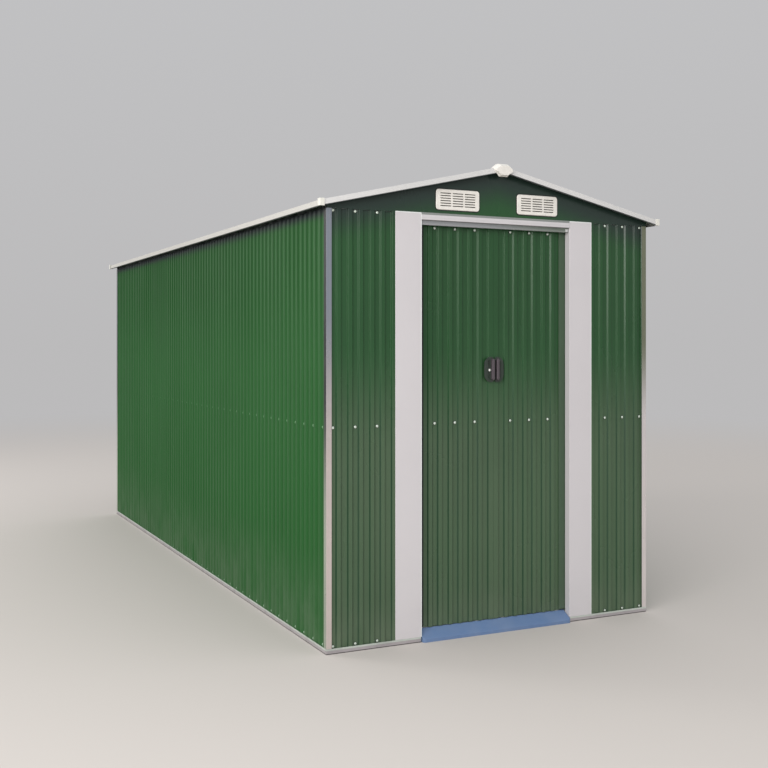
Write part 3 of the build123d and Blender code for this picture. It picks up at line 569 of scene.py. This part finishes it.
def new_piece(name, verts, faces, slot, body, material=None, sharp=SHARP_FOLD):
    mesh = bpy.data.meshes.new(name)
    mesh.from_pydata([tuple(v) for v in verts], [], faces)
    mesh.validate()
    mesh.update()
    piece = bpy.data.objects.new(name, mesh)
    bpy.context.scene.collection.objects.link(piece)
    dress(piece, material or finish[slot])
    for polygon in mesh.polygons:
        polygon.use_smooth = True
    mesh.set_sharp_from_angle(angle=sharp)
    weigh = piece.modifiers.new("weighted_normals", "WEIGHTED_NORMAL")
    weigh.keep_sharp = True
    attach(piece, body)
    return piece


def soften(node, width, material=None):
    """Stands a copy of a CAD node in for it, with its edges rounded."""
    source = frame["nodes"][node]
    mesh = source.data.copy()
    work = bmesh.new()
    work.from_mesh(mesh)
    bmesh.ops.remove_doubles(work, verts=work.verts, dist=WELD)
    bmesh.ops.dissolve_limit(
        work, angle_limit=FLAT_ANGLE, verts=work.verts, edges=work.edges, delimit={"NORMAL"}
    )
    for face in work.faces:
        face.smooth = True
    work.to_mesh(mesh)
    work.free()
    piece = bpy.data.objects.new(node + "_rounded", mesh)
    bpy.context.scene.collection.objects.link(piece)
    dress(piece, material or finish[slot_of[node]])
    mesh.set_sharp_from_angle(angle=ROUND_ANGLE)
    round_off = piece.modifiers.new("rounded_edges", "BEVEL")
    round_off.width = width
    round_off.segments = ROUND_SEGMENTS
    round_off.limit_method = "ANGLE"
    round_off.angle_limit = ROUND_ANGLE
    round_off.harden_normals = True
    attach(piece, body_of[node])
    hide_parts(node)


def rounded(path, radius):
    """The path with an arc at each of its inner corners."""
    points = [Vector(path[0])]
    for before, corner, after in zip(path, path[1:], path[2:]):
        corner = Vector(corner)
        back = Vector(before) - corner
        on = Vector(after) - corner
        turn = math.pi - back.angle(on)
        if turn < STRAIGHT:
            continue
        cut = min(radius * math.tan(turn / 2), BEND_SHARE * back.length, BEND_SHARE * on.length)
        start = corner + back.normalized() * cut
        end = corner + on.normalized() * cut
        for i in range(BEND_STEPS + 1):
            t = i / BEND_STEPS
            points.append(start * (1 - t) ** 2 + corner * 2 * t * (1 - t) + end * t ** 2)
    points.append(Vector(path[-1]))
    return points


def offset(points, distance):
    """The points moved to the left of the path by a distance."""
    moved = []
    for i, point in enumerate(points):
        before = points[max(i - 1, 0)]
        after = points[min(i + 1, len(points) - 1)]
        first = (point - before).normalized() if i else (after - point).normalized()
        second = (after - point).normalized() if i < len(points) - 1 else first
        along = (first + second).normalized()
        mitre = distance / max(along.dot(first), MITRE_LEAST)
        moved.append(point + Vector((-along.y, along.x)) * mitre)
    return moved


def span(node, direction):
    """The least and the greatest distance of a CAD node's corners along a direction."""
    places = [v.co.dot(direction) for v in frame["nodes"][node].data.vertices]
    return min(places), max(places)


def sheet_path(node, along, inward, rise=UP, rib=RIB_DEPTH):
    """Corners of the outer face of a ribbed sheet: places along the wall and depths into it."""
    corners = [v.co for v in frame["nodes"][node].data.vertices]
    top = span(node, rise)[1]
    flat = {
        (round(c.dot(along), 5), round(c.dot(inward), 5))
        for c in corners if top - c.dot(rise) < SAME_HEIGHT
    }
    outer = min(depth for _, depth in flat)
    first, last = min(flat)[0], max(flat)[0]
    path = []
    for place, depth in sorted(flat):
        at_end = place in (first, last)
        on_face = min(abs(depth - outer), abs(depth - outer - rib)) < SAME_DEPTH
        if (on_face or at_end) and not (path and path[-1][0] == place):
            path.append((place, depth))
    return path


def flats_at(path, depth):
    """Start and end of each flat of the path at a depth, with its number in the path."""
    found = []
    for i, ((a, depth_a), (b, depth_b)) in enumerate(zip(path, path[1:])):
        if max(abs(depth - depth_a), abs(depth - depth_b)) < SAME_DEPTH:
            found.append((i, a, b))
    return found


def deepest(path):
    return max(depth for _, depth in path)


def folded_sheet(node, path, axes, tiers, bend=BEND_RADIUS, thickness=SHEET, material=None):
    """Thin sheet with rounded folds, drawn along a rise in tiers, standing in for a CAD node."""
    along, inward, rise = axes
    outer = rounded(path, bend)
    inner = offset(outer, thickness)
    verts, faces = [], []
    count = len(outer)
    for rows in tiers:
        first = len(verts)
        for height, tuck in rows:
            for face_points in (outer, inner):
                for point in face_points:
                    verts.append(along * point.x + inward * (point.y + tuck) + rise * height)
        for row in range(len(rows) - 1):
            low = first + row * 2 * count
            high = low + 2 * count
            low_in, high_in = low + count, high + count
            for i in range(count - 1):
                faces.append((low + i, low + i + 1, high + i + 1, high + i))
                faces.append((low_in + i + 1, low_in + i, high_in + i, high_in + i + 1))
            faces.append((low_in, low, high, high_in))
            end = count - 1
            faces.append((low + end, low_in + end, high_in + end, high + end))
        top = first + (len(rows) - 1) * 2 * count
        for i in range(count - 1):
            faces.append((first + i + 1, first + i, first + count + i, first + count + i + 1))
            faces.append((top + i, top + i + 1, top + count + i + 1, top + count + i))
    piece = new_piece(node + "_folded", verts, faces, slot_of[node], body_of[node], material)
    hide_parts(node)


def sloped_flanks(path):
    """The path with easier flanks, the easiest at the narrow valleys that take the screws."""
    made = list(path)
    for i, a, b in flats_at(path, deepest(path)):
        if i == 0 or i > len(path) - 3:
            continue
        flank = WIDE_FLANK if b - a > NARROW_VALLEY[1] else NARROW_FLANK
        if i > 1:
            made[i - 1] = (a - flank, path[i - 1][1])
        if i < len(path) - 3:
            made[i + 2] = (b + flank, path[i + 2][1])
    return made


def door_edges(path, node):
    """The path of a door sheet, almost closed to the other leaf's and wider at the right post."""
    if node == "door_left_sheet":
        outer = path[0]
        return [(outer[0] + STILE_SHOWN, outer[1])] + path[1:-1] + [(-MEETING_GAP / 2, path[-2][1])]
    if node == "door_right_sheet":
        outer = path[-1]
        return [(MEETING_GAP / 2, path[1][1])] + path[1:-1] + [(outer[0] + RIGHT_LEAF_REACH, outer[1])]
    return path


def two_tiers(node):
    """Rows of (height, setback): a lower tier that laps behind the foot of the upper one."""
    low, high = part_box(node)
    foot = low.z - DOOR_DROP if node.startswith("door") else low.z
    lower = [(foot, 0), (SEAM - 2 * LAP, 0), (SEAM - LAP, LAP_TUCK), (SEAM + LAP, LAP_TUCK)]
    upper = [(SEAM, 0), (high.z, 0)]
    return [lower, upper]


def round_outline(width, height, radius):
    """A rounded rectangle about the origin, anticlockwise."""
    points = []
    for number, (x, y) in enumerate(((1, -1), (1, 1), (-1, 1), (-1, -1))):
        for i in range(CORNER_STEPS + 1):
            turn = math.radians(90) * (number - 1 + i / CORNER_STEPS)
            points.append((
                x * (width / 2 - radius) + radius * math.cos(turn),
                y * (height / 2 - radius) + radius * math.sin(turn),
            ))
    return points


def joined_rings(count, rings, closed=False):
    """Faces between neighbouring rings of count points, and from the last to the first if closed."""
    faces = []
    for ring in range(rings if closed else rings - 1):
        a, b = ring * count, (ring + 1) % rings * count
        for i in range(count):
            j = (i + 1) % count
            faces.append((a + i, a + j, b + j, b + i))
    return faces


def pad(name, centre, size, rings, node, material):
    """A moulded pad on a front face, from (inset, reach) rings of a rounded rectangle."""
    width, height, radius = size
    verts = []
    for inset, out in rings:
        outline = round_outline(width - 2 * inset, height - 2 * inset, radius - inset)
        verts += [centre + RIGHT * x + UP * z + FRONT * out for x, z in outline]
    count = len(outline)
    faces = joined_rings(count, len(rings))
    faces.append(tuple(len(verts) - count + i for i in range(count)))
    faces.append(tuple(reversed(range(count))))
    new_piece(name, verts, faces, slot_of[node], body_of[node], material)


def shadow_ring(name, centre, outward, size, node):
    """A flat black ring round the back edge of a plate, from its outline outwards by the ring's reach: a
    painted shadow.
    """
    width, height, radius = size
    across = UP.cross(outward)
    rings = (
        (SHADOW_RING_TUCK, 0.0), (-SHADOW_RING_REACH, 0.0),
        (-SHADOW_RING_REACH, SHADOW_RING_THICKNESS), (SHADOW_RING_TUCK, SHADOW_RING_THICKNESS),
    )
    verts = []
    for inset, out in rings:
        outline = round_outline(width - 2 * inset, height - 2 * inset, radius - inset)
        verts += [centre + across * x + UP * z + outward * out for x, z in outline]
    faces = joined_rings(len(outline), len(rings), closed=True)
    new_piece(name, verts, faces, slot_of[node], body_of[node], washer_and_shadow_rubber)


# Fastenings

def lathe(profile, steps):
    """Rings of a turned form about +Z from (radius, height) pairs, with no ends."""
    verts = []
    for radius, height in profile:
        for i in range(steps):
            turn = math.tau * (i - 0.5) / steps
            verts.append(Vector((radius * math.cos(turn), radius * math.sin(turn), height)))
    return verts, joined_rings(steps, len(profile))


def pan_screw():
    """Sealing washer, flange and cross-recessed pan head, standing on the plane z = 0."""
    steps = 12
    washer = [(0.0086, 0.0), (0.0088, 0.0003), (0.0084, 0.0007)]
    head = [
        (0.0064, 0.0008), (0.0064, 0.0011), (0.0058, 0.0014), (0.0056, 0.0019), (0.0047, 0.0026),
        (0.0027, 0.0030),
    ]
    verts, faces = lathe(washer + head, steps)
    last = len(verts) - steps
    arm, half, crown, recess = 0.0019, 0.0005, 0.0031, 0.0020
    cross = [
        (arm, -half), (arm, half), (half, half), (half, arm), (-half, arm), (-half, half),
        (-arm, half), (-arm, -half), (-half, -half), (-half, -arm), (half, -arm), (half, -half),
    ]
    top, floor = len(verts), len(verts) + steps
    verts += [Vector((x, y, crown)) for x, y in cross]
    verts += [Vector((x, y, recess)) for x, y in cross]
    for i in range(steps):
        j = (i + 1) % steps
        faces.append((last + i, last + j, top + j, top + i))
        faces.append((top + i, top + j, floor + j, floor + i))
    faces.append(tuple(floor + i for i in range(steps)))
    faces.append(tuple(reversed(range(steps))))
    is_rubber = [min(face) < len(washer) * steps for face in faces]
    return verts, faces, is_rubber


def dome_screw():
    """A domed head, standing on the plane z = 0."""
    steps = 14
    profile = [(0.0062, 0.0), (0.0063, 0.0006), (0.0057, 0.0018), (0.0043, 0.0028), (0.0022, 0.0033)]
    verts, faces = lathe(profile, steps)
    faces.append(tuple(len(verts) - steps + i for i in range(steps)))
    faces.append(tuple(reversed(range(steps))))
    return verts, faces, [False] * len(faces)


def nut_and_end():
    """Hex nut and the end of its screw, standing on the plane z = 0."""
    sides = 6
    verts, faces = lathe([(0.0040, 0.0), (0.0040, 0.0028), (0.0036, 0.0032), (0.0021, 0.0032)], sides)
    faces.append(tuple(reversed(range(sides))))
    ring = len(verts)
    end_verts, end_faces = lathe([(0.0021, 0.0032), (0.0020, 0.0055), (0.0016, 0.0059)], sides)
    verts += end_verts
    faces += [tuple(ring + i for i in face) for face in end_faces]
    faces.append(tuple(len(verts) - sides + i for i in range(sides)))
    return verts, faces, [False] * len(faces)


def scatter(name, template, places, slot, body, metal=screw_zinc):
    """One mesh of a template repeated at (point, outward direction) places, each turned further."""
    verts, faces, in_rubber = [], [], []
    form, form_faces, is_rubber = template
    for number, (point, outward) in enumerate(places):
        turn = outward.to_track_quat("Z", "Y").to_matrix()
        spin = SCREW_SPIN * number
        first = len(verts)
        for v in form:
            x = v.x * math.cos(spin) - v.y * math.sin(spin)
            y = v.x * math.sin(spin) + v.y * math.cos(spin)
            verts.append(point + turn @ Vector((x, y, v.z)))
        faces += [tuple(first + i for i in face) for face in form_faces]
        in_rubber += is_rubber
    piece = new_piece(name, verts, faces, slot, body, metal, SHARP_HEAD)
    piece.data.materials.append(washer_and_shadow_rubber)
    for polygon, rubber in zip(piece.data.polygons, in_rubber):
        polygon.material_index = 1 if rubber else 0


def screw_rows(node, along, inward, heights):
    """Places of the screws in a sheet's whole narrow valleys, and of the nuts behind them."""
    path = sheet_path(node, along, inward)
    deep = deepest(path)
    flats = [(a, b) for _, a, b in flats_at(path[1:-1], deep)]
    middles = [(a + b) / 2 for a, b in flats if NARROW_VALLEY[0] < b - a < NARROW_VALLEY[1]]
    points = [along * a + inward * deep + UP * z for z in heights for a in middles]
    return [(p, -inward) for p in points], [(p + inward * NUT_BEHIND, inward) for p in points]


# Camera, floor and light

def camera():
    data = bpy.data.cameras.new("camera")
    data.lens = LENS
    data.shift_x, data.shift_y = CAMERA_SHIFT
    seen = bpy.data.objects.new("camera", data)
    seen.location = CAMERA_PLACE
    seen.rotation_euler = (math.radians(90), 0, -CAMERA_YAW)
    bpy.context.scene.collection.objects.link(seen)
    bpy.context.scene.camera = seen


def floor():
    """A pale floor that fades into the backdrop's colour far from the shed."""
    corners = [(x * FLOOR_REACH, y * FLOOR_REACH, 0) for x, y in ((-1, -1), (1, -1), (1, 1), (-1, 1))]
    mesh = bpy.data.meshes.new("floor")
    mesh.from_pydata(corners, [], [(0, 1, 2, 3)])
    ground = bpy.data.objects.new("floor", mesh)
    bpy.context.scene.collection.objects.link(ground)
    f = Finish("floor")
    f.set(Base_Color=FLOOR, Roughness=0.9, Specular_IOR_Level=0.1)
    far = f.node("ShaderNodeVectorMath", {0: f.place}, operation="LENGTH").outputs["Value"]
    glow = f.node("ShaderNodeEmission", {"Color": BACKDROP_LOW, "Strength": 1.0})
    blend = f.node(
        "ShaderNodeMixShader",
        {0: f.remap(far, *FLOOR_FADE), 1: f.shader.outputs[0], 2: glow.outputs[0]},
    )
    f.put(f.tree.nodes["Material Output"].inputs["Surface"], blend.outputs[0])
    dress(ground, f.material)


def sky():
    """A plain backdrop for what is seen, also in metal, and a dome that is brighter above."""
    world = bpy.data.worlds.new("sky")
    bpy.context.scene.world = world
    world.use_nodes = True
    tree = world.node_tree

    def add(kind, *sources, **settings):
        made = tree.nodes.new(kind)
        for name, value in settings.items():
            setattr(made, name, value)
        for number, source in enumerate(sources):
            if isinstance(source, bpy.types.NodeSocket):
                tree.links.new(source, made.inputs[number])
            else:
                made.inputs[number].default_value = source
        return made

    direction = add("ShaderNodeTexCoord").outputs["Generated"]
    height = add("ShaderNodeSeparateXYZ", direction).outputs[2]
    rise = add("ShaderNodeMapRange", height, 0.0, 1.0, 0.0, 1.0).outputs[0]
    strength = add("ShaderNodeMapRange", height, 0.0, 1.0, SKY_LOW, SKY_HIGH).outputs[0]
    light = add("ShaderNodeBackground", SKY_COLOUR, strength)
    colour = add("ShaderNodeMix", rise, data_type="RGBA")
    colour.inputs[6].default_value = BACKDROP_LOW
    colour.inputs[7].default_value = BACKDROP_HIGH
    shown = add("ShaderNodeBackground", colour.outputs[2], 1.0)
    path = add("ShaderNodeLightPath").outputs
    metal = add(
        "ShaderNodeMath", path["Is Glossy Ray"], path["Is Transmission Ray"], operation="MAXIMUM"
    )
    seen = add("ShaderNodeMath", path["Is Camera Ray"], metal.outputs[0], operation="MAXIMUM")
    either = add("ShaderNodeMixShader", seen.outputs[0], light.outputs[0], shown.outputs[0])
    tree.links.new(either.outputs[0], tree.nodes["World Output"].inputs["Surface"])


def soft_box(name, power, size, place, aim):
    data = bpy.data.lights.new(name, "AREA")
    data.shape = "RECTANGLE"
    data.size, data.size_y = size
    data.energy = power
    data.color = LAMP_COLOUR
    lamp = bpy.data.objects.new(name, data)
    lamp.location = place
    lamp.rotation_euler = (place - aim).to_track_quat("Z", "Y").to_euler()
    lamp.visible_camera = False
    bpy.context.scene.collection.objects.link(lamp)


bpy.context.scene.view_settings.view_transform = "Standard"
camera()
floor()
sky()
for name, (power, size, place, aim) in SOFT_BOXES.items():
    soft_box(name, power, size, place, aim)

for node, shown in frame["nodes"].items():
    dress(shown, finish[slot_of[node]])

# Ribbed sheets, each with the directions along it and into the shed
SHEETS = {
    "wall_left": (FRONT, RIGHT),
    "wall_right": (BACK, LEFT),
    "wall_back": (LEFT, FRONT),
    "front_panel_left": (RIGHT, BACK),
    "front_panel_right": (RIGHT, BACK),
    "door_left_sheet": (RIGHT, BACK),
    "door_right_sheet": (RIGHT, BACK),
}
SIDE_WALLS = ("wall_left", "wall_right")
for node, (along, inward) in SHEETS.items():
    path = sloped_flanks(door_edges(sheet_path(node, along, inward), node))
    material = None if node in SIDE_WALLS else front_enamel
    folded_sheet(node, path, (along, inward, UP), two_tiers(node), material=material)

# Roof sheets, in one tier from eave to ridge, each with the directions up it and out of it
ROOFS = {
    node: (side, (UP * ROOF_SLOPE - side).normalized(), (UP + side * ROOF_SLOPE).normalized())
    for node, side in (("roof_left", LEFT), ("roof_right", RIGHT))
}
for node, (side, climb, outward) in ROOFS.items():
    along = FRONT if side == LEFT else BACK
    path = sheet_path(node, along, -outward, climb, ROOF_RIB_DEPTH)
    folded_sheet(node, path, (along, -outward, climb), [[(height, 0) for height in span(node, climb)]])

# Roof screws, in the pans midway between the ribs, over the eaves rail and over the purlin
for node, (side, climb, outward) in ROOFS.items():
    path = sheet_path(node, FRONT, -outward, climb, ROOF_RIB_DEPTH)
    pan = deepest(path)
    middles = [(a + b) / 2 for _, a, b in flats_at(path, pan) if b - a > ROOF_PAN_LEAST]
    places = []
    for row in ROOF_ROWS:
        for middle in middles:
            on_plane = FRONT * middle - outward * pan
            slide = (side * row - on_plane).dot(side) / climb.dot(side)
            places.append((on_plane + climb * slide, outward))
    scatter(node + "_screws", pan_screw(), places, "galvanised", body_of[node], roof_head)

# Door posts: one folded sheet each, turned back over the top
for node in ("door_post_left", "door_post_right"):
    low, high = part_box(node)
    if node == "door_post_left":
        edge = high.x + POST_REACH
        path = [(low.x, low.y + POST_LIP), (low.x, low.y), (edge, low.y), (edge, high.y)]
    else:
        path = [(low.x, high.y), (low.x, low.y), (high.x, low.y), (high.x, low.y + POST_LIP)]
    rows = [(low.z, 0)] + [(high.z - drop, setback) for drop, setback in POST_TOP]
    folded_sheet(node, path, (RIGHT, BACK, UP), [rows], POST_BEND, POST_SHEET)

# Folded and moulded pieces, by the width of their rounded edges
EDGES = (
    (0.0006, ("corner_front_left", "corner_front_right", "corner_back_left", "corner_back_right")),
    (0.0006, ("base_frame_left", "base_frame_right", "base_frame_back", "base_frame_front")),
    (0.0006, ("rake_trims_front", "rake_trims_back", "eave_trims")),
    (0.0005, ("ridge_cap",)),
    (0.0025, ("ridge_end_caps",)),
    (0.0008, ("roof_corner_caps",)),
    (0.0006, ("vents_front", "vents_back")),
    (0.0005, ("door_left_frame", "door_right_frame")),
    (0.0011, ("door_left_handle", "door_right_handle")),
    (0.0008, ("door_left_sliders", "door_right_sliders")),
    (0.0012, ("door_sill",)),
    (0.0005, ("floor_track", "top_track", "front_beam", "back_beam", "ridge_beam", "purlins")),
    (0.0005, ("top_rail_left", "top_rail_right")),
    (0.0005, ("mid_rail_left", "mid_rail_right", "mid_rail_back", "mid_rails_front")),
    (0.0006, ("door_header",)),
    (0.0003, ("gable_front", "gable_back")),
)
OWN_FINISH = {
    "base_frame_left": rail_zinc, "base_frame_right": rail_zinc,
    "base_frame_back": rail_zinc, "base_frame_front": rail_zinc,
    "top_rail_left": top_rail_zinc, "top_rail_right": top_rail_zinc,
    "gable_front": front_enamel, "gable_back": front_enamel,
    "corner_front_right": right_steel, "door_left_frame": left_stile, "door_header": header_finish,
    "eave_trims": eave_enamel, "roof_corner_caps": cap_plastic,
}
for width, nodes in EDGES:
    for node in nodes:
        soften(node, width, OWN_FINISH.get(node))

# Nylon stop at the right end of the header's strip
low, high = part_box("door_header")
stop = Vector((high.x, low.y, low.z)) + STOP_PLACE
pad("header_stop", stop, STOP_SIZE, STOP_RINGS, "door_header", stop_nylon)

# Black rings behind the vents: painted shadow, showing as a dark line round each
for node, outward in (("vents_front", FRONT), ("vents_back", BACK)):
    for side_name, side in (("left", LEFT), ("right", RIGHT)):
        corners = [v.co for v in frame["nodes"][node].data.vertices if v.co.dot(side) > 0]
        low = Vector([min(c[i] for c in corners) for i in range(3)])
        high = Vector([max(c[i] for c in corners) for i in range(3)])
        behind = (low + high) / 2
        behind.y = min(abs(low.y), abs(high.y)) * outward.y
        size = (high.x - low.x, high.z - low.z, VENT_RADIUS)
        shadow_ring(f"{node}_gasket_{side_name}", behind, outward, size, node)

# The latch screw in the left handle's pocket, near-white and not metallic: a painted glint
low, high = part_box("door_left_handle")
latch = Vector((low.x, low.y, (low.z + high.z) / 2)) + LATCH_PLACE
scatter("latch_screw", dome_screw(), [(latch, FRONT)], "handle_plastic", "door_left", glint_white)

# Screws in rows near the foot, the seam and the top of the sheets, domed on the side walls
heads = {"shell": [], "door_left": [], "door_right": []}
nuts = {"shell": [], "door_left": [], "door_right": []}
for node, (along, inward) in SHEETS.items():
    low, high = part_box(node)
    base_row, seam_row = low.z + BASE_ROW, SEAM + LAP / 2
    if node in SIDE_WALLS:
        for row, height, metal in (("base", base_row, base_head), ("seam", seam_row, dark_green_head)):
            outside, inside = screw_rows(node, along, inward, [height])
            scatter(f"{node}_{row}_screws", dome_screw(), outside, "galvanised", "shell", metal)
            nuts["shell"] += inside
        continue
    heights = (base_row, seam_row, high.z - TOP_ROW)
    if node.startswith("door"):
        heights = (seam_row, high.z - DOOR_ROW)
    outside, inside = screw_rows(node, along, inward, heights)
    heads[body_of[node]] += outside
    nuts[body_of[node]] += inside
for body in heads:
    scatter("screws_" + body, pan_screw(), heads[body], "galvanised", body)
    scatter("nuts_" + body, nut_and_end(), nuts[body], "galvanised", body)
